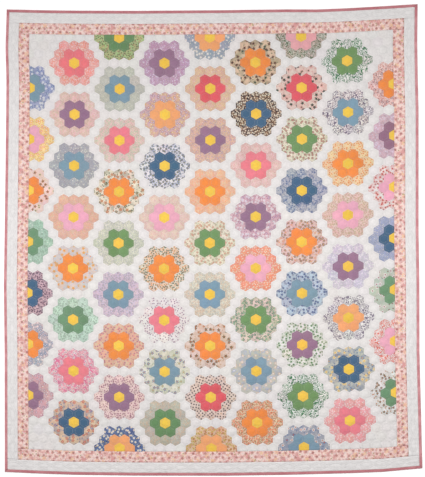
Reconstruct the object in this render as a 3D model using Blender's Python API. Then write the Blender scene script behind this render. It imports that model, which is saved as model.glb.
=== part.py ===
"""Full-size patchwork quilt lying flat, face up: a field of hexagon patches, a print border, a plain border and
a narrow binding. Metres, +Z up. The quilt's top end is towards +Y, and the origin is under its middle."""

import math

import bmesh
import bpy
import numpy as np
from mathutils import Matrix, Vector

MM = 0.001

# Patches
PATCH_SIDE = 25.05 * MM
PATCH_WIDTH = 44.6 * MM
ROW_PITCH = 1.5 * PATCH_SIDE
ROWS = 49
PATCHES_ACROSS = 36

# Borders and binding
PRINT_WIDTH = 47.5 * MM
PLAIN_WIDTH = 45.5 * MM
BINDING_WIDTH = 12.0 * MM
JOIN_GAP = 0.3 * MM
SEWN_WITHIN = 0.05 * MM

# Heights above the surface that the quilt lies on
SEAM_HEIGHT = 3.0 * MM
PATCH_PUFF = 4.8 * MM
PRINT_PUFF = 4.8 * MM
PRINT_STITCH = 3.9 * MM
PLAIN_PUFF = 4.9 * MM
PLAIN_STITCH = 3.3 * MM

FIELD_HALF_WIDTH = PATCHES_ACROSS * PATCH_WIDTH / 2
FIELD_HALF_LENGTH = ((ROWS - 1) * ROW_PITCH + PATCH_SIDE) / 2
PRINT_HALF_WIDTH = FIELD_HALF_WIDTH + PRINT_WIDTH
PRINT_HALF_LENGTH = FIELD_HALF_LENGTH + PRINT_WIDTH
PLAIN_HALF_WIDTH = PRINT_HALF_WIDTH + PLAIN_WIDTH
PLAIN_HALF_LENGTH = PRINT_HALF_LENGTH + PLAIN_WIDTH
HALF_WIDTH = PLAIN_HALF_WIDTH + BINDING_WIDTH
HALF_LENGTH = PLAIN_HALF_LENGTH + BINDING_WIDTH

# The binding's section: distance in from the quilt's edge, and height, both in mm
BINDING_SECTION = (
    (12.0, 0.0),
    (12.0, 3.2),
    (9.5, 4.7),
    (4.0, 4.8),
    (1.2, 3.9),
    (0.0, 2.3),
    (0.9, 0.8),
    (2.6, 0.0),
)

# How the side edges wander: a row of patches, then how far each edge lies towards +X, in mm
SIDE_DRIFT = (
    (-4, 11.0, -7.0),
    (2, 4.0, -9.5),
    (6, 8.0, -7.0),
    (10, 6.5, -3.5),
    (16, 4.0, -3.5),
    (24, 0.0, -3.5),
    (30, -3.5, 0.0),
    (38, 0.0, 0.5),
    (52, 1.0, 13.5),
)

# How the end edges wander: patches from the middle, then how far the bottom and top edges lie towards +Y, in mm
END_DRIFT = (
    (-20.5, 13.0, -1.0),
    (-16.5, 5.0, -5.0),
    (-13.5, 0.5, -6.5),
    (-7.5, -3.0, -7.5),
    (1.5, -3.5, -4.5),
    (7.5, 0.5, -1.0),
    (10.5, 4.0, -1.5),
    (13.5, 7.5, 4.0),
    (16.5, 13.0, 11.5),
    (20.5, 29.5, 22.5),
)

# How far the middle columns lie towards -X
MIDDLE_LEAN = 8.0 * MM

# Colours, then roughness, of each kind of cloth
FINISHES = {
    "patchwork": ((0.90, 0.62, 0.52), 0.9),
    "print_border": ((0.93, 0.58, 0.48), 0.9),
    "plain_border": ((0.83, 0.83, 0.84), 0.9),
    "binding": ((0.62, 0.20, 0.25), 0.85),
}


def row_y(row):
    """The middle of a row of patches, counted from the top."""
    return ((ROWS - 1) / 2 - row) * ROW_PITCH


def row_point_y(row):
    """Where the upper points of a row of patches lie. On an even row, the field's side edges have a corner there."""
    return row_y(row) + PATCH_SIDE


SIDE_KNOTS = np.array([row_point_y(row) for row, *_ in reversed(SIDE_DRIFT)])
END_KNOTS = np.array([column * PATCH_WIDTH for column, *_ in END_DRIFT])
LEFT, RIGHT = np.array([drifts for _, *drifts in reversed(SIDE_DRIFT)]).T * MM
BOTTOM, TOP = np.array([drifts for _, *drifts in END_DRIFT]).T * MM


def eased(point):
    """A point of the true rectangle, moved to where it lies on the quilt, whose edges wander."""
    across = (point.x + HALF_WIDTH) / (2 * HALF_WIDTH)
    along = (point.y + HALF_LENGTH) / (2 * HALF_LENGTH)
    sides = np.interp(point.y, SIDE_KNOTS, LEFT), np.interp(point.y, SIDE_KNOTS, RIGHT)
    ends = np.interp(point.x, END_KNOTS, BOTTOM), np.interp(point.x, END_KNOTS, TOP)
    lean = MIDDLE_LEAN * (1 - (point.x / HALF_WIDTH) ** 2)
    return Vector(
        (
            point.x + (1 - across) * sides[0] + across * sides[1] - lean,
            point.y + (1 - along) * ends[0] + along * ends[1],
            point.z,
        )
    )


def cloth(kind):
    """The material of one kind of cloth, made on first use."""
    if kind in bpy.data.materials:
        return bpy.data.materials[kind]
    colour, roughness = FINISHES[kind]
    material = bpy.data.materials.new(kind)
    material.use_nodes = True
    shader = material.node_tree.nodes["Principled BSDF"]
    shader.inputs["Base Color"].default_value = (*colour, 1.0)
    shader.inputs["Roughness"].default_value = roughness
    material.diffuse_color = (*colour, 1.0)
    return material


def finish(name, kind, bm):
    """Eases a piece's points, and puts it in the scene."""
    for vertex in bm.verts:
        vertex.co = eased(vertex.co)
    bmesh.ops.recalc_face_normals(bm, faces=bm.faces)
    mesh = bpy.data.meshes.new(name)
    bm.to_mesh(mesh)
    bm.free()
    mesh.materials.append(cloth(kind))
    piece = bpy.data.objects.new(name, mesh)
    bpy.context.scene.collection.objects.link(piece)
    return piece


def close_below(bm):
    """Gives a face of cloth its edges down to the surface, and its flat underside."""
    rim = [edge for edge in bm.edges if edge.is_boundary]
    walls = bmesh.ops.extrude_edge_only(bm, edges=rim)["geom"]
    for vertex in (item for item in walls if isinstance(item, bmesh.types.BMVert)):
        vertex.co.z = 0.0
    hem = [edge for edge in bm.edges if edge.is_boundary]
    bmesh.ops.contextual_create(bm, geom=hem)


def held_in_field(point):
    """A point moved onto the field, clear of the border's seam by half the gap."""
    x_most = FIELD_HALF_WIDTH - JOIN_GAP / 2
    y_most = FIELD_HALF_LENGTH - JOIN_GAP / 2
    return Vector((max(-x_most, min(x_most, point.x)), max(-y_most, min(y_most, point.y)), SEAM_HEIGHT))


def with_neighbours(outline):
    """Each corner of a closed outline, between the one before and the one after."""
    return zip(outline[-1:] + outline[:-1], outline, outline[1:] + outline[:1])


def turns_at(before, corner, after):
    """True where an outline turns at a corner, and doesn't run straight on."""
    one = corner - before
    two = after - corner
    return abs(one.x * two.y - one.y * two.x) > (0.1 * PATCH_SIDE) ** 2


def patch_outline(middle):
    """The corners of one patch, a hexagon standing on a point, cut where the field ends."""
    reach = (
        (0.0, PATCH_SIDE),
        (-PATCH_WIDTH / 2, PATCH_SIDE / 2),
        (-PATCH_WIDTH / 2, -PATCH_SIDE / 2),
        (0.0, -PATCH_SIDE),
        (PATCH_WIDTH / 2, -PATCH_SIDE / 2),
        (PATCH_WIDTH / 2, PATCH_SIDE / 2),
    )
    held = [held_in_field(middle + Vector((x, y, 0.0))) for x, y in reach]
    apart = [corner for before, corner, _ in with_neighbours(held) if (corner - before).length > SEWN_WITHIN]
    return [corner for before, corner, after in with_neighbours(apart) if turns_at(before, corner, after)]


def patch_middles():
    """The middle of every patch. Even rows start and end with a half patch."""
    for row in range(ROWS):
        for place in range(PATCHES_ACROSS + 1 - row % 2):
            x = (place + row % 2 / 2 - PATCHES_ACROSS / 2) * PATCH_WIDTH
            yield Vector((x, row_y(row), 0.0))


def make_patchwork():
    """The field of patches, each one raised between its seams."""
    bm = bmesh.new()
    for middle in patch_middles():
        outline = patch_outline(middle)
        top = sum(outline, Vector()) / len(outline)
        peak = bm.verts.new((top.x, top.y, PATCH_PUFF))
        ring = [bm.verts.new(corner) for corner in outline]
        for first, second in zip(ring, ring[1:] + ring[:1]):
            bm.faces.new((first, second, peak))
    bmesh.ops.remove_doubles(bm, verts=bm.verts, dist=SEWN_WITHIN)
    close_below(bm)
    return finish("patchwork_centre", "patchwork", bm)


def stations(half, pitch, offset):
    """Places along a strip that ends at plus and minus half: its ends, and every pitch between them."""
    clear = 0.3 * pitch
    count = math.ceil(2 * half / pitch) + 1
    regular = [offset + (index - count) * pitch for index in range(2 * count + 1)]
    inner = [place for place in regular if abs(place) < half - clear]
    return [-half, *inner, half]


def side_stations(half, share=1.0):
    """Places along a side strip, on the points of every second row, or that far apart times the share."""
    return stations(half, 2 * ROW_PITCH * share, row_point_y(0))


def end_stations(half, share=1.0):
    """Places along an end strip, a patch and a half apart, or that far times the share."""
    return stations(half, 1.5 * PATCH_WIDTH * share, 0.0)


def make_strip(name, kind, upright, places, lines, height):
    """A border strip. Its face has a point at each place along it and each line across it, and creases on the lower
    diagonal of each quad, where the stitches run. height gives a point's height from its place's and its line's number."""
    bm = bmesh.new()
    steps, lanes = len(places) - 1, len(lines) - 1
    bmesh.ops.create_grid(bm, x_segments=steps, y_segments=lanes, size=0.5)
    for vertex in bm.verts:
        step = round((vertex.co.x + 0.5) * steps)
        lane = round((vertex.co.y + 0.5) * lanes)
        flat = (lines[lane], places[step]) if upright else (places[step], lines[lane])
        at_rim = step in (0, steps) or lane in (0, lanes)
        vertex.co = Vector((*flat, SEAM_HEIGHT if at_rim else height(step, lane)))
    for face in list(bm.faces):
        a, b, c, d = face.verts
        pair = (a, c) if a.co.z + c.co.z <= b.co.z + d.co.z else (b, d)
        bmesh.utils.face_split(face, *pair)
    close_below(bm)
    return finish(name, kind, bm)


def print_height(step, lane):
    """The print border's crown, a little lower where it is stitched across."""
    return PRINT_PUFF if step % 2 else PRINT_STITCH


def plain_height(step, lane):
    """The plain border's cable: two crossing lines of stitches with a puff in each loop and beside each crossing."""
    return PLAIN_PUFF if (step + lane) % 2 else PLAIN_STITCH


def make_border(kind, inner, outer, side_half, end_half, pattern):
    """The four strips of one border. inner and outer are its half widths and half lengths at the two seams, and
    side_half and end_half are half the lengths of its side and end strips."""
    trim = JOIN_GAP / 2
    lanes, share, height = pattern
    for end, way in (("right", 1), ("left", -1)):
        lines = [way * (inner[0] + trim + lane * (outer[0] - inner[0] - 2 * trim)) for lane in lanes]
        make_strip(f"{kind}_{end}", kind, True, side_stations(side_half - trim, share), lines, height)
    for end, way in (("top", 1), ("bottom", -1)):
        lines = [way * (inner[1] + trim + lane * (outer[1] - inner[1] - 2 * trim)) for lane in lanes]
        make_strip(f"{kind}_{end}", kind, False, end_stations(end_half - trim, share), lines, height)


def make_binding(name, upright, way, half, edge, places):
    """One length of binding, mitred at both ends. half is half its length and edge is where its outer edge lies."""
    mitre_gap = JOIN_GAP / math.sqrt(2)

    def ring(place):
        points = []
        for inset, height in BINDING_SECTION:
            inset_m = min(inset * MM, BINDING_WIDTH - JOIN_GAP / 2)
            along = place
            if abs(place) == half:
                along = math.copysign(half - inset_m - mitre_gap, place)
            across = way * (edge - inset_m)
            points.append(Vector((across, along, height * MM) if upright else (along, across, height * MM)))
        return points

    bm = bmesh.new()
    end = bm.faces.new([bm.verts.new(point) for point in ring(places[0])])
    for place in places[1:]:
        section = [vertex.co.copy() for vertex in end.verts]
        moves = [after - before for before, after in zip(section, ring(place))]
        end = bmesh.ops.extrude_discrete_faces(bm, faces=[end])["faces"][0]
        for vertex, move in zip(end.verts, moves):
            vertex.co += move
    bmesh.ops.contextual_create(bm, geom=[edge for edge in bm.edges if edge.is_boundary])
    return finish(name, "binding", bm)


# Each border's pattern: its lines as shares of its width, its stations' share of the usual pitch, and its heights
PRINT_PATTERN = ((0.0, 0.5, 1.0), 1.0, print_height)
PLAIN_PATTERN = ((0.0, 0.2, 0.5, 0.8, 1.0), 0.5, plain_height)


def make_bindings():
    """The four lengths of binding round the quilt's edge."""
    for end, way in (("right", 1), ("left", -1)):
        places = side_stations(HALF_LENGTH)
        make_binding(f"binding_{end}", True, way, HALF_LENGTH, HALF_WIDTH, places)
    for end, way in (("top", 1), ("bottom", -1)):
        places = end_stations(HALF_WIDTH)
        make_binding(f"binding_{end}", False, way, HALF_WIDTH, HALF_LENGTH, places)


def centre_on_origin(pieces):
    """Moves every piece so that the origin is under the middle of the whole."""
    points = [vertex.co for piece in pieces for vertex in piece.data.vertices]
    middle = [(min(p[axis] for p in points) + max(p[axis] for p in points)) / 2 for axis in (0, 1)]
    for piece in pieces:
        piece.data.transform(Matrix.Translation((-middle[0], -middle[1], 0.0)))


def main():
    for obj in list(bpy.data.objects):
        bpy.data.objects.remove(obj, do_unlink=True)
    make_patchwork()
    field = (FIELD_HALF_WIDTH, FIELD_HALF_LENGTH)
    printed = (PRINT_HALF_WIDTH, PRINT_HALF_LENGTH)
    plain = (PLAIN_HALF_WIDTH, PLAIN_HALF_LENGTH)
    make_border("print_border", field, printed, field[1], printed[0], PRINT_PATTERN)
    make_border("plain_border", printed, plain, printed[1], plain[0], PLAIN_PATTERN)
    make_bindings()
    centre_on_origin(list(bpy.data.objects))


main()
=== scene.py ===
"""Looks of a hexagon patchwork quilt, laid flat: every patch, border strip and binding as quilted cotton.

Metres, +Z up. The quilt's top end is towards +Y, and it lies on the floor at Z = 0.
"""

import math
import random

import bmesh
import bpy
import numpy as np
from bpy.props import FloatProperty, FloatVectorProperty, IntProperty, PointerProperty
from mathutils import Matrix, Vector, noise


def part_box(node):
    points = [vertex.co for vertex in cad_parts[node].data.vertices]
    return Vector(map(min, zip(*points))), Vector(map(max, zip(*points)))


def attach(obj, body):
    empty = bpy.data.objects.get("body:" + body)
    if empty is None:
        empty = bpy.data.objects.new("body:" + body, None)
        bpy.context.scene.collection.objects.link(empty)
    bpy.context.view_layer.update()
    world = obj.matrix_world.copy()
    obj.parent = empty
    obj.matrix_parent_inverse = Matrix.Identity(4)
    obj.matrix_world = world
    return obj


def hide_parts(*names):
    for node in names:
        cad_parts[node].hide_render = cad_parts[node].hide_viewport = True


bl_info = {
    "name": "Flower Patchwork Quilt",
    "version": (1, 0, 0),
    "blender": (4, 5, 0),
    "location": "3D View > Sidebar > Quilt",
    "description": "Builds a hexagon patchwork quilt: its pieces, cloth finishes and a plain stage",
    "category": "Add Mesh",
}

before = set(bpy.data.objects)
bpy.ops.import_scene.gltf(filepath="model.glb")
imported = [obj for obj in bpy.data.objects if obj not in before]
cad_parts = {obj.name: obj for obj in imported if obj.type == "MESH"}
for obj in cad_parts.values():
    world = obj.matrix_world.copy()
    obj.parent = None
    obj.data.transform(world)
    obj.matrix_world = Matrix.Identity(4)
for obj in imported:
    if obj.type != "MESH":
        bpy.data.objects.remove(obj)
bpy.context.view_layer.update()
BODY = "root"
MM = 0.001

# The photograph: its size, the pixel over the quilt's origin, and what a pixel covers
PHOTO_WIDTH, PHOTO_HEIGHT = 425, 477
ORIGIN_PIXEL = (213.1, 239.9)
PIXEL_SIZE = 4.38 * MM

# The layout: rows of hexagon patches, and the flowers that they make
ROWS = 49
PATCHES_ACROSS = 36
FLOWER_STEP = 9
FLOWER_ROWS = 6
RINGS_OF_A_FLOWER = 2

# How the side edges wander: a row of patches, then how far each edge lies towards +X, in mm
SIDE_DRIFT = (
    (-4, 11.0, -7.0),
    (2, 4.0, -9.5),
    (6, 8.0, -7.0),
    (10, 6.5, -3.5),
    (16, 4.0, -3.5),
    (24, 0.0, -3.5),
    (30, -3.5, 0.0),
    (38, 0.0, 0.5),
    (52, 1.0, 13.5),
)

# How the end edges wander: patches from the middle, then how far the bottom and top edges lie
# towards +Y, in mm
END_DRIFT = (
    (-20.5, 13.0, -1.0),
    (-16.5, 5.0, -5.0),
    (-13.5, 0.5, -6.5),
    (-7.5, -3.0, -7.5),
    (1.5, -3.5, -4.5),
    (7.5, 0.5, -1.0),
    (10.5, 4.0, -1.5),
    (13.5, 7.5, 4.0),
    (16.5, 13.0, 11.5),
    (20.5, 29.5, 22.5),
)

# The flowers, by columns from the left and downwards: the petals' dye, the ring's print, then the dyes
# of its ground, motifs, second motifs and eyes
FLOWERS = """
denim bloom iris white slate sky
candy bloom butter amber gold white
orange posy blush rust sand moss
jade sprig seafoam fir mint white
navy dense petal aubergine smoke soot
orange bloom grey slate blush white
purple bloom petal mauve rose white

coral_rose dense salmon pink blush blush
purple dense shell tan pink white
denim dense grey smoke stone white
candy dense biscuit rose salmon cream
orange posy shell gold sky amber
jade dense mint fir seafoam white
rose_pink bloom fuchsia white blush mauve
navy posy biscuit rust slate rose

forest dense lime moss tan brown
denim dense stone pewter stone white
rose_pink dense shell pink sage white
orange posy cream rust pine tan
green dense ivory pewter sage white
denim dense lilac smoke petal white
orange bloom biscuit rose salmon mauve
purple dense blush mauve shell maroon
apricot bloom slate white ink butter

purple dense orchid mauve lilac white
apricot bloom petal mauve gold white
navy bloom white ink slate olive
candy dense shell rose biscuit white
orange dense ivory soot amber leaf
rose_pink sprig white mauve blush ink
denim posy ivory slate sage tan
forest dense stone pewter tan ivory

apricot bloom grey white denim cream
berry dense biscuit gold rose white
purple dense biscuit mauve rose white
orange dense sand amber salmon cream
green bloom cream tan sage rose
azure dense ivory pewter tan white
orange posy shell pine tan rust
berry dot shell soot tan brown
apricot bloom biscuit gold rust olive

orange posy biscuit brown moss soot
navy dense soot cream tan cream
rose_pink dense shell pink rose white
purple bloom petal white mauve lilac
candy dense salmon sand amber white
green bloom shell pine leaf seafoam
denim posy stone biscuit iris white
orange dense sand coral brown amber

pink scroll stone moss rose white
berry posy shell soot rose pine
green bloom cream brown sage rose
navy dense grey white slate ink
orange bloom shell aubergine rose gold
denim bloom sky ink grey slate
purple bloom white leaf sage pine
green scroll white fir mint white
denim posy grey white slate rust

green scroll white fir mint white
azure scroll white smoke shell white
orange dense sand amber butter rust
candy dense shell tan rose sage
purple dense lilac grey white white
apricot scroll white smoke stone grey
navy posy stone butter slate gold
rose_pink dense pink blush salmon white

orange bloom blush salmon maroon white
plum dense petal mauve lilac white
candy bloom white coral rose maroon
navy dense iris slate grey white
jade posy stone white seafoam maroon
candy scroll white coral salmon white
jade bloom white pine stone rust
"""

# The dyes: red, green and blue as they look on a display, 0 to 255
DYES = """
muslin 236 231 229
border 238 234 233
border_ground 252 223 214
border_peach 246 204 166
border_rose 226 165 162
border_salmon 238 164 148
thread 236 232 228
backing 232 228 220
binding 219 157 161
binding_shade 189 111 119
sunshine 249 204 84
orange 247 146 77
apricot 249 172 118
berry 229 99 108
rose_pink 241 134 146
coral_rose 240 126 132
candy 242 176 195
purple 158 121 146
plum 152 113 132
navy 78 108 138
denim 131 158 175
azure 131 161 180
green 120 154 103
forest 112 147 102
jade 117 153 119
white 236 231 229
cream 240 226 206
ivory 226 221 206
stone 200 198 186
pewter 163 166 156
sand 236 206 174
tan 203 163 130
biscuit 226 195 168
shell 230 206 196
blush 242 210 206
petal 218 182 190
pink 238 172 178
rose 220 155 152
fuchsia 224 130 160
salmon 238 152 138
coral 228 118 106
amber 244 150 85
gold 226 180 105
butter 249 220 160
rust 196 108 66
brown 130 88 66
soot 58 50 58
aubergine 92 58 88
maroon 150 72 76
mauve 172 122 146
orchid 195 152 182
lilac 212 196 216
smoke 128 116 134
iris 168 174 205
slate 105 125 165
ink 72 78 124
sky 192 207 222
grey 172 172 182
sage 180 188 158
mint 205 225 208
seafoam 172 200 182
lime 172 202 142
leaf 118 158 108
moss 110 120 95
olive 160 160 90
fir 76 126 90
pine 62 92 68
"""

# The patches' prints: mm between motifs, their stray from even rows, their reach and the leaves' in mm,
# petals, the share of motifs in the second dye, and how far the ground drifts towards it
PRINTS = {
    "sprig": (11.5, 0.75, 3.6, 1.8, 5, 0.25, 0.2),
    "bloom": (14.5, 0.8, 6.2, 3.0, 5, 0.3, 0.35),
    "dense": (9.0, 0.8, 3.9, 2.0, 4, 0.35, 0.25),
    "posy": (23.0, 0.8, 8.0, 3.6, 5, 0.3, 0.4),
    "dot": (12.0, 0.3, 3.3, 0.0, 0, 0.1, 0.2),
    "scroll": (19.0, 1.0, 0.0, 2.4, 0, 0.5, 0.3),
}
PRINT_NAMES = tuple(PRINTS)

# The print border's clumps, small flowers and sprigs: the distance between them, stray, reach and petals
CLUMPS = (34 * MM, 0.9, 12 * MM, 5)
SMALL_FLOWERS = (12.5 * MM, 0.8, 5.0 * MM, 5)
SPRIGS = (15 * MM, 0.9, 3.4 * MM, 3)

# Its dark buds: the step and width of a lane, their stray, and the reach of petals, bud and eye
BUD_STEP, BUD_LANE, BUD_STRAY = 29 * MM, 21 * MM, 0.35
BUD_PETALS, BUD_REACH, BUD_EYE = 9.8 * MM, 5.8 * MM, 1.5 * MM

# How deep a flower is cut between its petals, and how much of it is eye
PETAL_CUT = 0.24
EYE_SHARE = 0.4

# The washed cottons: the darkest shade, what weave, slubs, painted shade of small crinkles and fading add
# to it, the sizes of blots and ripples, and how high weave and slubs stand
DARKEST = 0.725
WEAVE_LIFT, SLUB_LIFT, CRINKLE_SHADE_LIFT, FADE_LIFT = 0.03, 0.1, 0.26, 0.16
SLUB_SIZE, CRINKLE_SHADE_SIZE, FADE_SIZE, RIPPLE_SIZE = 2.2 * MM, 9 * MM, 40 * MM, 10 * MM
WEAVE_HEIGHT, SLUB_HEIGHT = 0.02 * MM, 0.1 * MM

# A line of quilting: half a stitch's share of the step, the reach of its dimple and wider groove, the
# painted shade in each and its strength, the dimple's depth and the thread's height
HALF_STITCH = 0.3
DIMPLE_REACH, GROOVE_REACH = 1.2 * MM, 3.0 * MM
DIMPLE_PAINTED_SHADE, GROOVE_PAINTED_SHADE = (0.35, 0.33, 0.33), (0.3, 0.28, 0.28)
DIMPLE_STRENGTH, GROOVE_STRENGTH, THREAD_STRENGTH = 0.07, 0.03, 0.5
DIMPLE_DEPTH, THREAD_HEIGHT = 0.25 * MM, 0.35 * MM

# A patch's seam: the painted shade in its ditch, and how strongly that shows on printed and on plain cotton
SEAM_PAINTED_SHADE = (0.28, 0.25, 0.26)
PRINTED_SEAM, PLAIN_SEAM = 0.34, 0.08

# How much the shade varies among muslin and among dyed patches, and a channel's share of that
MUSLIN_SPREAD, DYED_SPREAD, CHANNEL_SHARE = 0.01, 0.026, 0.6

# How a patch is raised, as shares: the widths of its rings, the rim's rise, and the crown's steps
RIM_RING, GROOVE_RING, CROWN_RING = 0.42, 0.58, 0.5
RIM_RISE, CROWN_RISE, TIP_RISE, CUT_TIP_RISE = 0.58, 0.85, 0.15, 0.8

# The binding: how far in its round edge reaches, how far from the middle the painted shade of its top and
# bottom lengths starts, and its fold as shares of its width and mm down
ROUND_IN = 2.6 * MM
PAINTED_SHADE_ENDS = 0.975
FOLD = ((0.45, 0.0), (0.75, 0.1), (0.9, 0.4), (0.98, 1.1), (1.0, 1.9))

# How much wider a gap is straight across a strip than square to the cable's slanting strands
CABLE_SLOPE = 1.15

# The four sides: their names, the way to each from the middle, and whether its strips run along Y
SIDES = (("right", 1, True), ("left", -1, True), ("top", 1, False), ("bottom", -1, False))

# The crumpled cloth's two waves: how long each is in metres, and its place in the noise
CRUMPLE_WAVES = ((0.045, 0.0), (0.16, 3.0))

WHITE = (1.0, 1.0, 1.0, 1.0)

# A map for baking: its name, the margin at a row's ends, and the bands of the face and the underside
BAKE_MAP = "OFBake"
MAP_END = 0.012
FACE_BAND = (0.02, 0.9)
UNDERSIDE_BAND = (0.93, 0.985)
STRIP_ROWS = 6


def linear(value):
    """One channel of a display colour, 0 to 255, as light."""
    share = value / 255
    return share / 12.92 if share <= 0.04045 else ((share + 0.055) / 1.055) ** 2.4


def dye(name, *channels):
    """A colour that a user can change, given as it looks on a display."""
    label = name.replace("_", " ").capitalize()
    return FloatVectorProperty(
        name=label,
        description=f"Colour of the {label.lower()} cotton",
        subtype="COLOR",
        size=3,
        min=0.0,
        max=1.0,
        default=[linear(int(channel)) for channel in channels],
    )


def length(name, description, millimetres):
    """A length that a user can change."""
    return FloatProperty(
        name=name, description=description, default=millimetres * MM, min=0.0, unit="LENGTH", precision=4
    )


class QuiltSizes(bpy.types.PropertyGroup):
    """Sizes of the quilt's patches, borders, relief and stitches."""

    patch_side: length("Patch side", "Side of a hexagon patch", 25.05)
    patch_width: length("Patch width", "Distance between patches of a row", 44.6)
    print_width: length("Print border", "Width of the printed border", 47.5)
    plain_width: length("Plain border", "Width of the plain border", 45.5)
    binding_width: length("Binding", "Width of the binding on the face", 12.0)
    gap: length("Seam gap", "Gap between two pieces at their seam", 0.1)
    middle_lean: length("Middle lean", "How far the middle columns lie to the left", 8.0)
    seam_height: length("Seam height", "Height of the face at a seam", 3.0)
    stitch_height: length("Stitch height", "Height of the face along a line of quilting", 3.7)
    puff_height: length("Puff height", "Height of the face between lines of quilting", 4.9)
    quilting_inset: length("Quilting inset", "Distance from a patch's seam to its line of quilting", 6.0)
    stitch_length: length("Stitch length", "Length of a quilting stitch and its gap", 4.2)
    thread_width: length("Thread width", "Width of the quilting thread", 0.5)
    cable_swing: length("Cable swing", "How far the quilted cable swings from its strip's middle", 13.6)
    cable_width: length("Cable width", "Distance between the two lines of a strand", 8.0)
    weave_pitch: length("Weave pitch", "Distance between threads of the cloth", 0.7)
    strip_step: length("Strip detail", "Size of a border mesh's faces", 5.0)
    crumple: length("Crumple", "Height of the cloth's soft unevenness", 0.35)
    ripple: length("Ripples", "Height of the cloth's small ripples", 2.8)
    seed: IntProperty(name="Seed", description="Picks how each patch was cut from its cloth", default=11)


class QuiltDyes(bpy.types.PropertyGroup):
    """Colours of the quilt's cottons."""

    __annotations__ = {line.split()[0]: dye(*line.split()) for line in DYES.strip().split("\n")}


class Wire:
    """A number or vector socket that takes part in Python arithmetic."""

    def __init__(self, cloth, socket):
        self.cloth = cloth
        self.socket = socket

    def output(self, name):
        """Another output of the same node."""
        return Wire(self.cloth, self.socket.node.outputs[name])

    def math(self, operation, *others):
        return self.cloth.number(operation, self, *others)

    def __add__(self, other):
        return self.math("ADD", other)

    def __sub__(self, other):
        return self.math("SUBTRACT", other)

    def __rsub__(self, other):
        return self.cloth.number("SUBTRACT", other, self)

    def __mul__(self, other):
        return self.math("MULTIPLY", other)

    def __truediv__(self, other):
        return self.math("DIVIDE", other)

    def __abs__(self):
        return self.math("ABSOLUTE")

    __radd__ = __add__
    __rmul__ = __mul__

    def under(self, edge, blur):
        """1 where the value is below the edge, 0 above it, with a soft step as wide as the blur."""
        settings = {"interpolation_type": "SMOOTHSTEP"}
        low, high = edge - blur / 2, edge + blur / 2
        values = {"Value": self, "From Min": low, "From Max": high, "To Min": 1.0, "To Max": 0.0}
        return self.cloth.node("MapRange", settings, values)


class Cloth:
    """A cotton's material while it is being put together."""

    def __init__(self, name):
        self.material = bpy.data.materials.new(name)
        self.material.use_nodes = True
        self.tree = self.material.node_tree
        self.shader = self.tree.nodes["Principled BSDF"]
        self.place = self.node("TexCoord").output("Object")

    def feed(self, socket, value):
        if isinstance(value, Wire):
            self.tree.links.new(value.socket, socket)
        elif getattr(socket, "type", "") == "RGBA" and len(value) == 3:
            socket.default_value = (*value, 1.0)
        else:
            socket.default_value = value

    def node(self, kind, settings=None, sockets=None):
        """A new node's first output, from its type, its settings, and values or wires for its sockets."""
        node = self.tree.nodes.new(f"ShaderNode{kind}")
        for name, value in (settings or {}).items():
            setattr(node, name, value)
        for name, value in (sockets or {}).items():
            self.feed(node.inputs[name], value)
        return Wire(self, node.outputs[0])

    def number(self, operation, *values):
        return self.node("Math", {"operation": operation}, dict(enumerate(values)))

    def vector(self, operation, *values):
        return self.node("VectorMath", {"operation": operation}, dict(enumerate(values)))

    def parts(self, vector):
        split = self.node("SeparateXYZ", None, {0: vector})
        return [split.output(axis) for axis in "XYZ"]

    def mix(self, share, first, second, blend="MIX"):
        """The first colour, going over to the second."""
        settings = {"data_type": "RGBA", "blend_type": blend}
        return self.node("Mix", settings, {0: share, 6: first, 7: second}).output(2)

    def grey(self, value):
        """A number as a grey colour."""
        return self.node("CombineColor", None, {0: value, 1: value, 2: value})

    def attribute(self, name, output):
        return self.node("Attribute", {"attribute_name": name}).output(output)

    def noise(self, place, size, detail=2.0):
        """Smooth noise from 0 to 1, whose blots are about this size in metres."""
        sockets = {"Vector": place, "Scale": 1 / size, "Detail": detail, "Roughness": 0.55}
        return self.node("TexNoise", {"noise_dimensions": "3D"}, sockets)

    def weave(self, pitch, place):
        """Height of a plain weave, from 0 to 1, threads running along X and Y."""
        x, y, _ = self.parts(place)
        turn = 2 * math.pi / pitch
        return (x * turn).math("SINE") * (y * turn).math("SINE") * 0.5 + 0.5

    def finish(self, colour, height):
        """Wires up the shader. height is in metres."""
        bump = self.node("Bump", None, {"Strength": 1.0, "Distance": 1.0, "Height": height})
        looks = {"Base Color": colour, "Roughness": 0.9, "Normal": bump}
        looks |= {"Specular IOR Level": 0.25, "Sheen Weight": 0.05}
        for name, value in looks.items():
            self.feed(self.shader.inputs[name], value)
        return self.material


def washed(cloth, sizes, colour, place, tone=None):
    """An old cotton's colour, woven, slubbed, with painted shade of small crinkles and a little faded in
    patches, and the cloth's fine height.
    """
    weave = cloth.weave(sizes.weave_pitch, place)
    slub = cloth.noise(place, SLUB_SIZE, 3.0)
    fade = cloth.noise(place, FADE_SIZE, 4.0)
    # Painted shade of the cloth's small crinkles, as soft blots
    crinkle_shade = cloth.noise(place, CRINKLE_SHADE_SIZE)
    shade = DARKEST + weave * WEAVE_LIFT + slub * SLUB_LIFT + crinkle_shade * CRINKLE_SHADE_LIFT + fade * FADE_LIFT
    if tone is not None:
        shade = shade * tone
    pulled = cloth.vector("MULTIPLY", cloth.place, (0.6, 1.0, 1.0))
    ripples = cloth.noise(pulled, RIPPLE_SIZE)
    height = weave * WEAVE_HEIGHT + slub * SLUB_HEIGHT + ripples * sizes.ripple
    return cloth.mix(1.0, colour, cloth.grey(shade), "MULTIPLY"), height


def patch_distance(cloth, sizes):
    """How far inside its patch's seam a point is, and how far along the nearest side, in metres."""
    x, y, _ = cloth.parts(cloth.node("UVMap", {"uv_map": "patch"}))
    x, y = abs(x), abs(y)
    half, side = sizes.patch_width / 2, sizes.patch_side
    slant = math.hypot(half, side / 2)
    upright = half - x
    sloping = ((side - y) * half - x * (side / 2)) / slant
    along = (x * half - y * (side / 2)) / slant
    on_upright = (upright - sloping).under(0.0, 0.1 * MM)
    return upright.math("MINIMUM", sloping), y * on_upright + along * (1 - on_upright)


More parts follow.
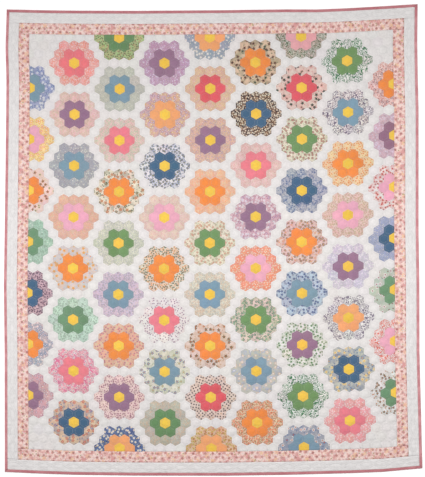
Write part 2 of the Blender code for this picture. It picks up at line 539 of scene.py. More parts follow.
def stitched(cloth, sizes, colour, height, off_line, along, thread):
    """Adds a line of quilting stitches where off_line is near 0, with painted shade in its dimple and
    groove.
    """
    beat = (along / sizes.stitch_length).math("FRACT")
    dash = abs(beat - 0.5).under(HALF_STITCH, 0.08)
    line = off_line.under(sizes.thread_width / 2, 0.3 * MM)
    dimple = off_line.under(DIMPLE_REACH, 1.6 * MM)
    groove = off_line.under(GROOVE_REACH, 5.0 * MM)
    stitch = dash * line
    # Painted shade in the quilting's wider groove and in its dimple
    colour = cloth.mix(groove * GROOVE_STRENGTH, colour, GROOVE_PAINTED_SHADE)
    colour = cloth.mix(dimple * DIMPLE_STRENGTH, colour, DIMPLE_PAINTED_SHADE)
    colour = cloth.mix(stitch * THREAD_STRENGTH, colour, thread)
    return colour, height - dimple * DIMPLE_DEPTH + stitch * THREAD_HEIGHT


def bloom_edge(cloth, x, y, reach, petals, turn):
    """How far a point is past a flower's outline, a dot's where it has no petals, and from its middle."""
    distance = (x * x + y * y).math("SQRT")
    if not petals:
        return distance - reach, distance
    angle = cloth.number("ARCTAN2", y, x) * petals + turn * 6.0
    outline = reach * (1 - PETAL_CUT) + angle.math("COSINE") * (reach * PETAL_CUT)
    return distance - outline, distance


def scattered(cloth, place, scale, stray):
    """How far along X and Y a point is from the nearest scattered place, with two random numbers."""
    sockets = {"Vector": place, "Scale": scale, "Randomness": stray}
    cells = cloth.node("TexVoronoi", {"voronoi_dimensions": "2D", "feature": "F1"}, sockets)
    chance, turn, _ = cloth.parts(cells.output("Color"))
    x, y, _ = cloth.parts(cloth.vector("SUBTRACT", place, cells.output("Position")))
    return x, y, chance, turn


def motif(cloth, place, pitch, stray, reach, petals):
    """Flowers or dots scattered over a print: their mask, their eyes' mask, and a random number for each."""
    x, y, chance, turn = scattered(cloth, place, 1 / pitch, stray)
    past, distance = bloom_edge(cloth, x, y, reach, petals, turn)
    eye = (distance - reach * EYE_SHARE).under(0.0, 0.6 * MM)
    return past.under(0.0, 0.7 * MM), eye, chance


def scrolls(cloth, place, pitch, width):
    """Curling lines, as a mask."""
    field = cloth.noise(place, pitch, 1.0)
    return abs((field * 7.0).math("FRACT") - 0.5).under(width, 0.08)


def cut_place(cloth):
    """The place on its own cloth that a patch was cut from: turned and moved for each patch."""
    cut = cloth.attribute("cut", "Vector")
    turn = cloth.parts(cut)[2]
    turned = cloth.node("VectorRotate", {"rotation_type": "Z_AXIS"}, {"Vector": cloth.place, "Angle": turn})
    return cloth.vector("ADD", turned, cut)


def patch_cloth(name, sizes, dyes, print_name=None):
    """The cotton of a patch, plain or printed, in the patch's own dyes and quilted inside its seams."""
    cloth = Cloth(name)
    place = cut_place(cloth)
    colour = cloth.attribute("ground", "Color")
    if print_name:
        colour = printed(cloth, PRINTS[print_name], place, colour)
    colour, height = washed(cloth, sizes, colour, place, cloth.attribute("tone", "Fac"))
    inside, along = patch_distance(cloth, sizes)
    # Painted shade along the ditch of the patch's seam, which also dips the cloth's height
    seam = inside.under(0.9 * MM, 1.4 * MM)
    colour = cloth.mix(seam * (PRINTED_SEAM if print_name else PLAIN_SEAM), colour, SEAM_PAINTED_SHADE)
    off_line = abs(inside - sizes.quilting_inset)
    colour, height = stitched(cloth, sizes, colour, height, off_line, along, dyes.thread)
    return cloth.finish(colour, height - seam * (0.3 * MM))


def printed(cloth, measures, place, ground):
    """A print: motifs in two dyes, with eyes in a third, over leaves in the second, on a drifting ground."""
    pitch, stray, reach, leaf, petals, share, drift = measures
    motifs, seconds = cloth.attribute("motif", "Color"), cloth.attribute("second", "Color")
    blots = cloth.noise(place, 24 * MM)
    colour = cloth.mix((1 - blots.under(0.52, 0.2)) * drift, ground, seconds)
    if leaf:
        elsewhere = cloth.vector("ADD", place, (pitch * 0.5 * MM, pitch * 0.37 * MM, 0.0))
        leaves, _, _ = motif(cloth, elsewhere, pitch * 0.8 * MM, stray, leaf * MM, 3)
        colour = cloth.mix(leaves * 0.85, colour, seconds)
    if not reach:
        return cloth.mix(scrolls(cloth, place, pitch * MM, 0.2), colour, motifs)
    flowers, eyes, chance = motif(cloth, place, pitch * MM, stray, reach * MM, petals)
    colour = cloth.mix(flowers * 0.9, colour, cloth.mix(chance.under(share, 0.01), motifs, seconds))
    return cloth.mix(eyes * 0.85, colour, cloth.attribute("eye", "Color")) if petals else colour


def backing_cloth(name, sizes, dyes):
    """Plain muslin for the underside."""
    cloth = Cloth(name)
    colour, height = washed(cloth, sizes, dyes.backing, cloth.place)
    return cloth.finish(colour, height)


def knots(places, table):
    """Places along an axis, and how far the two edges drift there, in metres."""
    drifts = np.array([drifts for _, *drifts in table]) * MM
    return np.array(places), drifts[:, 0], drifts[:, 1]


def side_knots(sizes):
    """The side edges' drifts, by their places along Y."""
    table = SIDE_DRIFT[::-1]
    pitch = 1.5 * sizes.patch_side
    return knots([((ROWS - 1) / 2 - row) * pitch + sizes.patch_side for row, _, _ in table], table)


def end_knots(sizes):
    """The end edges' drifts, by their places along X."""
    return knots([column * sizes.patch_width for column, _, _ in END_DRIFT], END_DRIFT)


def halves(sizes):
    """Half the width and length of the patchwork, with each border, and of the whole quilt."""
    rows = (ROWS - 1) * 1.5 * sizes.patch_side + sizes.patch_side
    found = [(PATCHES_ACROSS * sizes.patch_width / 2, rows / 2)]
    for width in (sizes.print_width, sizes.plain_width, sizes.binding_width):
        found.append(tuple(half + width for half in found[-1]))
    return found


def drifted(x, y, sizes):
    """Places on the true rectangle, moved to where they lie on the quilt, whose edges wander."""
    half_width, half_length = halves(sizes)[3]
    knots_y, left, right = side_knots(sizes)
    knots_x, bottom, top = end_knots(sizes)
    across = (x + half_width) / (2 * half_width)
    along = (y + half_length) / (2 * half_length)
    lean = sizes.middle_lean * (1 - (x / half_width) ** 2)
    moved_x = x + (1 - across) * np.interp(y, knots_y, left) + across * np.interp(y, knots_y, right) - lean
    moved_y = y + (1 - along) * np.interp(x, knots_x, bottom) + along * np.interp(x, knots_x, top)
    return moved_x, moved_y


def home(sizes):
    """How far the solids' own frame lies from the rectangle's: their left and bottom edges tell."""
    half_width, half_length = halves(sizes)[3]
    knots_y, knots_x = side_knots(sizes)[0], end_knots(sizes)[0]
    inner_y = knots_y[np.abs(knots_y) < half_length]
    inner_x = knots_x[np.abs(knots_x) < half_width]
    left = drifted(np.full(len(inner_y), -half_width), inner_y, sizes)[0].min()
    bottom = drifted(inner_x, np.full(len(inner_x), -half_length), sizes)[1].min()
    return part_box("binding_left")[0].x - left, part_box("binding_bottom")[0].y - bottom


def lay_out(points, sizes):
    """Moves flat points to where the quilt's cloth lies, and lets the raised ones crumple a little."""
    x, y = drifted(points[:, 0], points[:, 1], sizes)
    shift = home(sizes)
    points[:, 0], points[:, 1] = x + shift[0], y + shift[1]
    swell = np.zeros(len(points))
    for wave, level in CRUMPLE_WAVES:
        swell += np.array([noise.noise(Vector((px, py, level)) / wave) for px, py in points[:, :2]])
    raised = points[:, 2] > 0
    rise = np.clip((points[:, 2] - sizes.seam_height) / (sizes.puff_height - sizes.seam_height), 0.0, 1.0)
    points[raised, 2] += sizes.crumple * (swell * (0.35 + 0.65 * rise))[raised]
    return points


def corners_of(mesh):
    """The vertex and the face of each corner of a mesh's faces."""
    vertex = np.empty(len(mesh.loops), np.int32)
    mesh.loops.foreach_get("vertex_index", vertex)
    counts = np.empty(len(mesh.polygons), np.int32)
    mesh.polygons.foreach_get("loop_total", counts)
    return vertex, np.repeat(np.arange(len(counts)), counts)


def add_map(mesh, name, places):
    """Gives the mesh a map with this place for each corner."""
    mesh.uv_layers.new(name=name).data.foreach_set("uv", places.astype(np.float32).ravel())


def add_bake_map(mesh, spots, rows):
    """Unfolds a slab in rows, each with its face, the walls beside it and a narrow underside.

    spots holds how far along and across each vertex is, from 0 to 1, and whether it is on top."""
    vertex, face = corners_of(mesh)
    spot = spots[vertex]
    starts = np.searchsorted(face, np.arange(len(mesh.polygons)))
    sizes_of_faces = np.diff(np.append(starts, len(face)))
    middle = (np.add.reduceat(spot, starts) / sizes_of_faces[:, None])[face]
    row = np.clip(np.floor(middle[:, 0] * rows), 0, rows - 1)
    along, across, top = spot.T
    u = MAP_END + (1 - 2 * MAP_END) * (along * rows - row)
    v = FACE_BAND[0] + (FACE_BAND[1] - FACE_BAND[0]) * across
    foot = (top < 0.5) & (middle[:, 2] > 0.01)
    u -= MAP_END / 2 * (foot & (middle[:, 0] < 1e-4))
    u += MAP_END / 2 * (foot & (middle[:, 0] > 1 - 1e-4))
    v[foot & (middle[:, 1] < 1e-4)] = 0.0
    v[foot & (middle[:, 1] > 1 - 1e-4)] = UNDERSIDE_BAND[0]
    under = middle[:, 2] < 0.01
    v[under] = (UNDERSIDE_BAND[0] + (UNDERSIDE_BAND[1] - UNDERSIDE_BAND[0]) * across)[under]
    add_map(mesh, BAKE_MAP, np.stack((u, (row + v) / rows), axis=1))


def read_points(mesh):
    points = np.empty(len(mesh.vertices) * 3)
    mesh.vertices.foreach_get("co", points)
    return points.reshape(-1, 3)


def write_points(mesh, points):
    mesh.vertices.foreach_set("co", points.ravel())
    mesh.update()


def highest_of_faces(mesh, heights):
    """The highest of each face's corners, from a height for each vertex."""
    vertex, face = corners_of(mesh)
    highest = np.full(len(mesh.polygons), -np.inf)
    np.maximum.at(highest, face, heights[vertex])
    return highest


def give_cloths(mesh, numbers):
    """Gives each face its material, by number."""
    mesh.polygons.foreach_set("material_index", numbers.astype(np.int32))


def add_object(name, data):
    """Puts a mesh, light or camera into the scene as an object."""
    item = bpy.data.objects.new(name, data)
    bpy.context.scene.collection.objects.link(item)
    return item


def mesh_of(name, bm):
    """Turns a finished bmesh into a mesh."""
    mesh = bpy.data.meshes.new(name)
    bm.to_mesh(mesh)
    bm.free()
    return mesh


def put_in_scene(name, mesh, materials, node, flat):
    """Makes the finished mesh a piece of the quilt that stands for its solid."""
    for material in materials:
        mesh.materials.append(material)
    mesh.shade_smooth()
    piece = add_object(name, mesh)
    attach(piece, BODY)
    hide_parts(node)


def everything(bm):
    return bm.verts[:] + bm.edges[:] + bm.faces[:]


def picked(geom, kind):
    """The items of one kind among what a bmesh operator gives."""
    return [item for item in geom if isinstance(item, kind)]


def add_copy(bm, geom, move):
    """Adds a moved copy of a part of the mesh."""
    copy = bmesh.ops.duplicate(bm, geom=geom)["geom"]
    bmesh.ops.translate(bm, vec=move, verts=picked(copy, bmesh.types.BMVert))


def hexagon_sheet(sizes):
    """A flat sheet of whole and cut hexagons, as wide and long as the patchwork."""
    bm = bmesh.new()
    bmesh.ops.create_circle(bm, cap_ends=True, segments=6, radius=1.0)
    flat_side = math.sqrt(3) / 2
    bmesh.ops.scale(bm, vec=(sizes.patch_width / 2 / flat_side, sizes.patch_side, 1.0), verts=bm.verts)
    first = (-PATCHES_ACROSS / 2 * sizes.patch_width, (ROWS - 1) / 2 * 1.5 * sizes.patch_side, 0.0)
    bmesh.ops.translate(bm, vec=first, verts=bm.verts)
    patch = everything(bm)
    for place in range(1, PATCHES_ACROSS + 2):
        add_copy(bm, patch, (place * sizes.patch_width, 0.0, 0.0))
    row = everything(bm)
    for number in range(1, ROWS):
        aside = -sizes.patch_width / 2 if number % 2 else 0.0
        add_copy(bm, row, (aside, -number * 1.5 * sizes.patch_side, 0.0))
    for axis, half in zip((Vector((1, 0, 0)), Vector((0, 1, 0))), halves(sizes)[0]):
        for outwards in (axis, -axis):
            cut = {"plane_co": outwards * half, "plane_no": outwards, "clear_outer": True}
            bmesh.ops.bisect_plane(bm, geom=everything(bm), dist=1e-6, **cut)
    bmesh.ops.remove_doubles(bm, verts=bm.verts, dist=0.05 * MM)
    return bm


def patch_of(face, sizes):
    """A patch's place in half widths from the middle, and its row from the top."""
    middle = face.calc_center_bounds()
    row = round((ROWS - 1) / 2 - middle.y / (1.5 * sizes.patch_side))
    odd = row % 2
    place = 2 * round((middle.x / (sizes.patch_width / 2) - odd) / 2) + odd
    return place, row


def flower_patches():
    """Each flower patch's ring and its flower's line of the chart, by place and row."""
    found = {}
    columns = FLOWERS.strip().split("\n\n")
    for column, flowers in enumerate(columns):
        place = (column - (len(columns) - 1) // 2) * FLOWER_STEP
        first = FLOWER_ROWS // 2 if column % 2 else 0
        if column in (0, len(columns) - 1):
            first = FLOWER_ROWS
        for number, line in enumerate(flowers.split("\n")):
            fabrics = line.split()
            row = first + number * FLOWER_ROWS
            for down in range(-RINGS_OF_A_FLOWER, RINGS_OF_A_FLOWER + 1):
                reach = 2 * RINGS_OF_A_FLOWER - abs(down)
                for over in range(-reach, reach + 1, 2):
                    ring = abs(down) + max(0, (abs(over) - abs(down)) // 2)
                    found[place + over, row + down] = (ring, fabrics)
    return found


def cloth_of_patch(key, flowers):
    """A patch's material number, and the dyes of its ground, motifs, second motifs and eyes."""
    ring, fabrics = flowers.get(key, (None, None))
    if ring is None:
        return 0, ("muslin",) * 4
    if ring == 0:
        return 0, ("sunshine",) * 4
    if ring == 1:
        return 0, (fabrics[0],) * 4
    return 1 + PRINT_NAMES.index(fabrics[1]), fabrics[2:]


def put_attribute(mesh, name, kind, values):
    """Stores a value for each face of a mesh."""
    layer = mesh.attributes.new(name, kind, "FACE")
    word = {"FLOAT_COLOR": "color", "FLOAT_VECTOR": "vector", "FLOAT": "value"}[kind]
    layer.data.foreach_set(word, np.asarray(values, np.float32).ravel())


def raise_patches(bm, sizes):
    """Thickens the sheet, and raises each patch in rings: a puff, its line of quilting, a higher middle."""
    slab = bmesh.ops.extrude_face_region(bm, geom=bm.faces[:])["geom"]
    tops = picked(slab, bmesh.types.BMFace)
    bmesh.ops.translate(bm, vec=(0.0, 0.0, sizes.seam_height), verts=picked(slab, bmesh.types.BMVert))
    rim_rise = (sizes.puff_height - sizes.seam_height) * RIM_RISE
    groove = sizes.stitch_height - sizes.seam_height - rim_rise
    crown = sizes.puff_height - sizes.stitch_height
    largest = max(face.calc_area() for face in tops)
    whole = [face for face in tops if face.calc_area() > 0.99 * largest]
    cut = [face for face in tops if face.calc_area() <= 0.99 * largest]
    for faces, inset, rise in (
        (tops, sizes.quilting_inset * RIM_RING, rim_rise),
        (tops, sizes.quilting_inset * GROOVE_RING, groove),
        (whole, sizes.quilting_inset * CROWN_RING, crown * CROWN_RISE),
    ):
        bmesh.ops.inset_individual(bm, faces=faces, thickness=inset, depth=rise, use_even_offset=True)
    for faces, rise in ((whole, TIP_RISE), (cut, CUT_TIP_RISE)):
        bmesh.ops.poke(bm, faces=faces, offset=crown * rise, center_mode="MEAN_WEIGHTED")


def make_patchwork_mesh(sizes, dyes):
    """The patchwork, with every patch's own cloth."""
    bm = hexagon_sheet(sizes)
    number = bm.faces.layers.int.new("patch_number")
    keys = []
    for index, face in enumerate(bm.faces):
        keys.append(patch_of(face, sizes))
        face[number] = index
    bmesh.ops.bisect_edges(bm, edges=bm.edges[:], cuts=1)
    raise_patches(bm, sizes)
    bmesh.ops.recalc_face_normals(bm, faces=bm.faces[:])
    mesh = mesh_of("patchwork", bm)

    rng = random.Random(sizes.seed)
    flowers = flower_patches()
    kinds, cuts, tones = [], [], []
    layers = {"ground": [], "motif": [], "second": [], "eye": []}
    for key in keys:
        kind, names = cloth_of_patch(key, flowers)
        kinds.append(kind)
        spread = MUSLIN_SPREAD if names[0] == "muslin" else DYED_SPREAD
        lot = [rng.gauss(1.0, spread * CHANNEL_SHARE) for _ in range(3)]
        for store, name in zip(layers.values(), names):
            store.append((*(share * vary for share, vary in zip(getattr(dyes, name), lot)), 1.0))
        cuts.append((rng.uniform(-1, 1), rng.uniform(-1, 1), rng.uniform(0, 2 * math.pi)))
        tones.append(rng.gauss(1.0, spread))

    patch = np.empty(len(mesh.polygons), np.int32)
    mesh.attributes["patch_number"].data.foreach_get("value", patch)
    points = read_points(mesh)
    vertex, face = corners_of(mesh)
    pitch = 1.5 * sizes.patch_side
    middles = [(place * sizes.patch_width / 2, ((ROWS - 1) / 2 - row) * pitch) for place, row in keys]
    add_map(mesh, "patch", points[vertex, :2] - np.array(middles)[patch[face]])
    half_width, half_length = halves(sizes)[0]
    spots = (points[:, 1] / half_length + 1) / 2, (points[:, 0] / half_width + 1) / 2, points[:, 2] > 0
    add_bake_map(mesh, np.stack(spots, axis=1).astype(float), 1)

    for name, colours in layers.items():
        put_attribute(mesh, name, "FLOAT_COLOR", np.array(colours)[patch])
    put_attribute(mesh, "cut", "FLOAT_VECTOR", np.array(cuts)[patch])
    put_attribute(mesh, "tone", "FLOAT", np.array(tones)[patch])
    backing = 1 + len(PRINT_NAMES)
    kind = np.where(highest_of_faces(mesh, points[:, 2]) > 0, np.array(kinds)[patch], backing)
    give_cloths(mesh, kind)

    for axis, half in enumerate((half_width, half_length)):
        points[:, axis] = np.clip(points[:, axis], sizes.gap / 2 - half, half - sizes.gap / 2)
    write_points(mesh, lay_out(points, sizes))
    return mesh


class QUILT_OT_patchwork(bpy.types.Operator):
    """Builds the patchwork: every hexagon patch, raised between its seams and quilted inside them"""

    bl_idname = "quilt.patchwork"
    bl_label = "Patchwork"

    def execute(self, context):
        sizes, dyes = context.scene.quilt_sizes, context.scene.quilt_dyes
        mesh = make_patchwork_mesh(sizes, dyes)
        plain = patch_cloth("plain_patches", sizes, dyes)
        prints = [patch_cloth(f"{name}_print_patches", sizes, dyes, name) for name in PRINT_NAMES]
        cloths = [plain, *prints, backing_cloth("patchwork_underside", sizes, dyes)]
        flat = tuple(2 * half for half in halves(sizes)[0])
        put_in_scene("hexagon_patchwork", mesh, cloths, "patchwork_centre", flat)
        return {"FINISHED"}


def strip_mesh(name, sizes, upright, half, inner, outer, relief):
    """A border strip as a closed, quilted slab. half is half its length, and inner and outer its seams."""
    width = abs(outer - inner)
    steps = round(2 * half / sizes.strip_step)
    lanes = round(width / (0.6 * sizes.strip_step))
    bm = bmesh.new()
    bmesh.ops.create_grid(bm, x_segments=steps, y_segments=lanes, size=0.5)
    slab = bmesh.ops.extrude_face_region(bm, geom=bm.faces[:])["geom"]
    bmesh.ops.translate(bm, vec=(0.0, 0.0, 1.0), verts=picked(slab, bmesh.types.BMVert))
    bmesh.ops.translate(bm, vec=(0.5, 0.5, 0.0), verts=bm.verts)
    if upright == (outer > inner):
        bmesh.ops.reverse_faces(bm, faces=bm.faces[:])
    mesh = mesh_of(name, bm)

    unit = read_points(mesh)
    along = (unit[:, 0] - 0.5) * 2 * half
    across = unit[:, 1] * width
    level = unit[:, 2] > 0.5
    add_map(mesh, "strip", np.stack((along, across), axis=1)[corners_of(mesh)[0]])
    add_bake_map(mesh, unit, STRIP_ROWS)
    give_cloths(mesh, highest_of_faces(mesh, unit[:, 2]) < 0.5)

    seam = np.minimum.reduce((across, width - across, half - along, half + along))
    puff = relief(sizes, upright, along, across, width) * (1 - 0.6 * np.exp(-seam / (3.5 * MM)))
    height = sizes.seam_height + (sizes.puff_height - sizes.seam_height) * puff
    side = inner + across * np.sign(outer - inner)
    flat = (side, along) if upright else (along, side)
    points = np.stack((*flat, np.where(level, height, 0.0)), axis=1)
    write_points(mesh, lay_out(points, sizes))
    return mesh


def slant_step(sizes):
    """How far apart the print border's slanting lines are along their strip."""
    return 0.75 * sizes.patch_width


def cable_loops(sizes, upright):
    """The length of one loop of the plain border's cable, and a place where its strands cross."""
    if upright:
        return 3 * sizes.patch_side, sizes.patch_side
    return 1.5 * sizes.patch_width, 0.75 * sizes.patch_width


def plain_relief(sizes, upright, along, across, width):
    """Quilted in a cable of two crossing strands."""
    loop, crossing = cable_loops(sizes, upright)
    swing = sizes.cable_swing * np.sin(math.pi * (along - crossing) / loop)
    middle = across - width / 2
    off_strand = np.minimum(np.abs(middle - swing), np.abs(middle + swing))
    off_line = np.abs(off_strand - sizes.cable_width / 2) / CABLE_SLOPE
    return 0.3 + 0.7 * (1 - np.exp(-off_line / (3.2 * MM)))


def print_relief(sizes, upright, along, across, width):
    """Quilted in slanting lines, the same on all four sides."""
    beat = (along + across - width / 2) / slant_step(sizes)
    off_line = np.abs(beat - np.round(beat)) * slant_step(sizes) / math.sqrt(2)
    return 0.55 + 0.45 * (1 - np.exp(-off_line / (3.0 * MM)))


def staggered(cloth, along, across, pitch, lane, stray):
    """The same for places in lanes along a strip, each lane half a step on from the last."""
    row = across / lane
    step = along / pitch + row * 0.5
    place = cloth.node("CombineXYZ", None, {0: step, 1: row})
    off_step, off_row, chance, turn = scattered(cloth, place, 1.0, stray)
    return (off_step - off_row * 0.5) * pitch, off_row * lane, chance, turn


def print_border_cloth(sizes, dyes, upright):
    """Pink calico with dark buds in staggered lanes and small salmon flowers, quilted in slanting lines."""
    cloth = Cloth("side_border_calico" if upright else "end_border_calico")
    along, across, _ = cloth.parts(cloth.node("UVMap", {"uv_map": "strip"}))
    place = cloth.node("CombineXYZ", None, {0: along, 1: across})
    blots = cloth.noise(place, 30 * MM)
    colour = cloth.mix(1 - blots.under(0.55, 0.16), dyes.border_ground, dyes.border_rose)
    clumps, _, chance = motif(cloth, place, *CLUMPS)
    colour = cloth.mix(clumps * chance.under(0.55, 0.02) * 0.8, colour, dyes.border_peach)
    flowers, eyes, chance = motif(cloth, place, *SMALL_FLOWERS)
    petal_dye = cloth.mix(chance.under(0.45, 0.02), dyes.blush, dyes.border_salmon)
    colour = cloth.mix(eyes * 0.7, cloth.mix(flowers * 0.75, colour, petal_dye), dyes.white)
    elsewhere = cloth.vector("ADD", place, (7 * MM, 4 * MM, 0.0))
    sprigs, _, chance = motif(cloth, elsewhere, *SPRIGS)
    sprig_dye = cloth.mix(chance.under(0.3, 0.02), dyes.border_rose, dyes.olive)
    colour = cloth.mix(sprigs * 0.8, colour, sprig_dye)
    over, up, depth, turn = staggered(cloth, along, across - 3 * MM, BUD_STEP, BUD_LANE, BUD_STRAY)
    petals, _ = bloom_edge(cloth, over, up, BUD_PETALS, 5, turn)
    colour = cloth.mix(petals.under(0.0, 1.0 * MM) * 0.55, colour, dyes.border_rose)
    bud, middle = bloom_edge(cloth, over, up, BUD_REACH, 5, turn + 0.5)
    colour = cloth.mix(bud.under(0.0, 0.8 * MM) * (0.4 + depth * 0.45), colour, dyes.maroon)
    colour = cloth.mix((middle - BUD_EYE).under(0.0, 0.6 * MM) * 0.6, colour, dyes.border_peach)
    colour, height = washed(cloth, sizes, colour, place)
    beat = (along + across - sizes.print_width / 2) / slant_step(sizes)
    off_line = abs(beat - beat.math("ROUND")) * (slant_step(sizes) / math.sqrt(2))
    on_line = (across - along) / math.sqrt(2)
    colour, height = stitched(cloth, sizes, colour, height, off_line, on_line, dyes.thread)
    return cloth.finish(colour, height)


def plain_border_cloth(sizes, dyes, upright):
    """Off-white muslin, quilted in a cable."""
    cloth = Cloth("side_border_muslin" if upright else "end_border_muslin")
    along, across, _ = cloth.parts(cloth.node("UVMap", {"uv_map": "strip"}))
    colour, height = washed(cloth, sizes, dyes.border, cloth.place)
    loop, crossing = cable_loops(sizes, upright)
    swing = ((along - crossing) * (math.pi / loop)).math("SINE") * sizes.cable_swing
    middle = across - sizes.plain_width / 2
    off_strand = abs(middle - swing).math("MINIMUM", abs(middle + swing))
    off_line = abs(off_strand - sizes.cable_width / 2) / CABLE_SLOPE
    colour, height = stitched(cloth, sizes, colour, height, off_line, along, dyes.thread)
    return cloth.finish(colour, height)


def make_border(scene, kind, inner, outer, width, relief, cotton):
    """The four strips of one border. inner and outer are its half sizes, relief and cotton its looks."""
    sizes, dyes = scene.quilt_sizes, scene.quilt_dyes
    trim = sizes.gap / 2
    cloths = {upright: cotton(sizes, dyes, upright) for upright in (True, False)}
    backing = backing_cloth(f"{kind}_underside", sizes, dyes)
    for end, way, upright in SIDES:
        axis = 0 if upright else 1
        half = (inner[1] if upright else outer[0]) - trim
        name = f"{end}_{kind}_strip"
        seams = (way * (inner[axis] + trim), way * (outer[axis] - trim))
        mesh = strip_mesh(name, sizes, upright, half, *seams, relief)
        put_in_scene(name, mesh, (cloths[upright], backing), f"{kind}_{end}", (width, 2 * half))


class QUILT_OT_print_border(bpy.types.Operator):
    """Builds the printed border's four strips"""

    bl_idname = "quilt.print_border"
    bl_label = "Print border"

    def execute(self, context):
        sizes = context.scene.quilt_sizes
        looks = (sizes.print_width, print_relief, print_border_cloth)
        make_border(context.scene, "print_border", *halves(sizes)[:2], *looks)
        return {"FINISHED"}


class QUILT_OT_plain_border(bpy.types.Operator):
    """Builds the plain border's four strips, quilted in a cable"""

    bl_idname = "quilt.plain_border"
    bl_label = "Plain border"

    def execute(self, context):
        sizes = context.scene.quilt_sizes
        looks = (sizes.plain_width, plain_relief, plain_border_cloth)
        make_border(context.scene, "plain_border", *halves(sizes)[1:3], *looks)
        return {"FINISHED"}


def binding_section(sizes):
    """The binding's section, in from the quilt's edge and up: a round edge, a flat top and a fold."""
    top = sizes.puff_height
    arc = [
        (ROUND_IN - ROUND_IN * math.sin(angle), top / 2 - top / 2 * math.cos(angle))
        for angle in np.linspace(0, math.pi, 9)
    ]
    inner = sizes.binding_width - sizes.gap / 2
    fold = [(share * inner, top - drop * MM) for share, drop in FOLD]
    return [*arc, *fold, (inner, 0.0), (0.6 * inner, 0.0)]


def binding_mesh(name, sizes, upright, way, half, edge):
    """One length of binding, mitred at both ends."""
    section = np.array(binding_section(sizes))
    count = len(section)
    steps = round(2 * half / (2 * sizes.strip_step))
    bm = bmesh.new()
    bmesh.ops.create_grid(bm, x_segments=steps, y_segments=count, size=0.5)
    bmesh.ops.translate(bm, vec=(0.5, 0.5, 0.0), verts=bm.verts)
    wrap = np.vstack((section, section[:1]))
    mitre_gap = sizes.gap / math.sqrt(2)
    for vertex in bm.verts:
        inset, height = wrap[round(vertex.co.y * count)]
        reach = half - inset - mitre_gap
        along = (2 * vertex.co.x - 1) * reach
        across = way * (edge - inset)
        vertex.co = Vector((across, along, height) if upright else (along, across, height))
    bmesh.ops.remove_doubles(bm, verts=bm.verts, dist=0.02 * MM)
    bmesh.ops.holes_fill(bm, edges=[item for item in bm.edges if item.is_boundary], sides=count + 2)
    bmesh.ops.recalc_face_normals(bm, faces=bm.faces[:])
    mesh = mesh_of(name, bm)
    write_points(mesh, lay_out(read_points(mesh), sizes))
    return mesh


def binding_cloth(sizes, dyes):
    """Rose cotton for the binding, which is folded over the edge: random worn blots, and painted shade on
    the top and bottom lengths.
    """
    cloth = Cloth("rose_binding")
    wear = cloth.noise(cloth.place, 45 * MM, 4.0)
    # Random worn blots in the darker dye, which also paints the ends' shade
    colour = cloth.mix((1 - wear.under(0.5, 0.3)) * 0.55, dyes.binding, dyes.binding_shade)
    # Painted shade: the top and bottom lengths darker than the sides
    end = 1 - abs(cloth.parts(cloth.place)[1]).under(PAINTED_SHADE_ENDS, 0.02)
    colour = cloth.mix(end * 0.5, colour, dyes.binding_shade)
    colour, height = washed(cloth, sizes, colour, cloth.place)
    return cloth.finish(colour, height)


class QUILT_OT_binding(bpy.types.Operator):
    """Builds the four lengths of rose binding"""

    bl_idname = "quilt.binding"
    bl_label = "Binding"

    def execute(self, context):
        sizes, dyes = context.scene.quilt_sizes, context.scene.quilt_dyes
        half_width, half_length = halves(sizes)[3]
        cloths = [binding_cloth(sizes, dyes)]
        for end, way, upright in SIDES:
            half, edge = (half_length, half_width) if upright else (half_width, half_length)
            name = f"{end}_binding_strip"
            mesh = binding_mesh(name, sizes, upright, way, half, edge)
            flat = (sizes.binding_width, 2 * half)
            put_in_scene(name, mesh, cloths, f"binding_{end}", flat)
        return {"FINISHED"}


def set_inputs(node, values):
    """Sets a node's inputs by name."""
    for name, value in values.items():
        node.inputs[name].default_value = value


def make_floor():
    """The pale floor, a hair below the quilt."""
    bm = bmesh.new()
    bmesh.ops.create_grid(bm, x_segments=1, y_segments=1, size=12.0)
    mesh = mesh_of("floor", bm)
    paint = bpy.data.materials.new("pale_floor")
    paint.use_nodes = True
    matt = {"Base Color": WHITE, "Roughness": 0.9, "Specular IOR Level": 0.1}
    glow = {"Emission Color": WHITE, "Emission Strength": 0.25}
    set_inputs(paint.node_tree.nodes["Principled BSDF"], matt | glow)
    mesh.materials.append(paint)
    floor = add_object("floor", mesh)
    floor.location.z = -0.2 * MM


def make_light(scene):
    """Soft light from a wide window, a long panel overhead and an even sky."""
    sun = bpy.data.lights.new("soft_window", "SUN")
    sun.energy = 0.85
    sun.angle = math.radians(35)
    window = add_object("soft_window", sun)
    window.rotation_euler = (math.radians(38), 0.0, math.radians(-140))
    panel = bpy.data.lights.new("long_panel", "AREA")
    panel.shape = "RECTANGLE"
    panel.size = 5.0
    panel.size_y = 0.5
    panel.energy = 44.0
    overhead = add_object("long_panel", panel)
    overhead.location = (0.0, -0.04, 2.05)
    overhead.visible_camera = False
    sky = bpy.data.worlds.new("even_sky")
    sky.use_nodes = True
    set_inputs(sky.node_tree.nodes["Background"], {"Color": WHITE, "Strength": 0.23})
    scene.world = sky
    scene.view_settings.view_transform = "Standard"


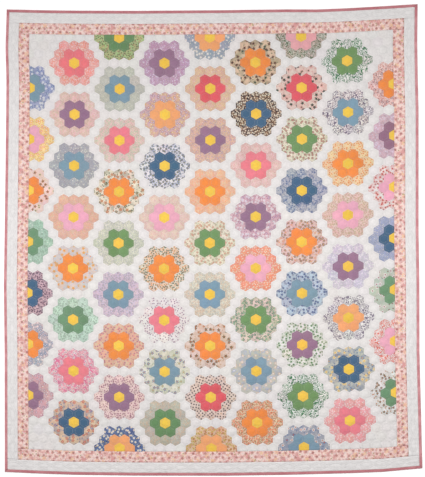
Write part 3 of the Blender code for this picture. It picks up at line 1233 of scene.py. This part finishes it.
def make_camera(scene):
    """The camera, straight above the middle of the photo."""
    view = bpy.data.cameras.new("camera")
    view.lens = 100.0
    view.sensor_width = 36.0
    camera = add_object("camera", view)
    tall = PHOTO_HEIGHT * PIXEL_SIZE
    x = (PHOTO_WIDTH / 2 - ORIGIN_PIXEL[0]) * PIXEL_SIZE
    y = (ORIGIN_PIXEL[1] - PHOTO_HEIGHT / 2) * PIXEL_SIZE
    camera.location = (x, y, tall * view.lens / view.sensor_width)
    scene.camera = camera


class QUILT_OT_stage(bpy.types.Operator):
    """Makes the pale floor, the soft light and the camera straight above"""

    bl_idname = "quilt.stage"
    bl_label = "Stage"

    def execute(self, context):
        make_floor()
        make_light(context.scene)
        make_camera(context.scene)
        return {"FINISHED"}


class QUILT_PT_sidebar(bpy.types.Panel):
    """The quilt's pieces and sizes"""

    bl_label = "Patchwork quilt"
    bl_space_type = "VIEW_3D"
    bl_region_type = "UI"
    bl_category = "Quilt"

    def draw(self, context):
        for operator in OPERATORS:
            self.layout.operator(operator.bl_idname)
        for group in (context.scene.quilt_sizes, context.scene.quilt_dyes):
            box = self.layout.box()
            for name in group.__annotations__:
                box.prop(group, name)


OPERATORS = (
    QUILT_OT_patchwork,
    QUILT_OT_print_border,
    QUILT_OT_plain_border,
    QUILT_OT_binding,
    QUILT_OT_stage,
)
CLASSES = (QuiltSizes, QuiltDyes, *OPERATORS, QUILT_PT_sidebar)


def register():
    for item in CLASSES:
        bpy.utils.register_class(item)
    bpy.types.Scene.quilt_sizes = PointerProperty(type=QuiltSizes)
    bpy.types.Scene.quilt_dyes = PointerProperty(type=QuiltDyes)


def unregister():
    del bpy.types.Scene.quilt_dyes
    del bpy.types.Scene.quilt_sizes
    for item in reversed(CLASSES):
        bpy.utils.unregister_class(item)


def main():
    register()
    bpy.ops.quilt.patchwork()
    bpy.ops.quilt.print_border()
    bpy.ops.quilt.plain_border()
    bpy.ops.quilt.binding()
    bpy.ops.quilt.stage()


if __name__ == "__main__":
    main()
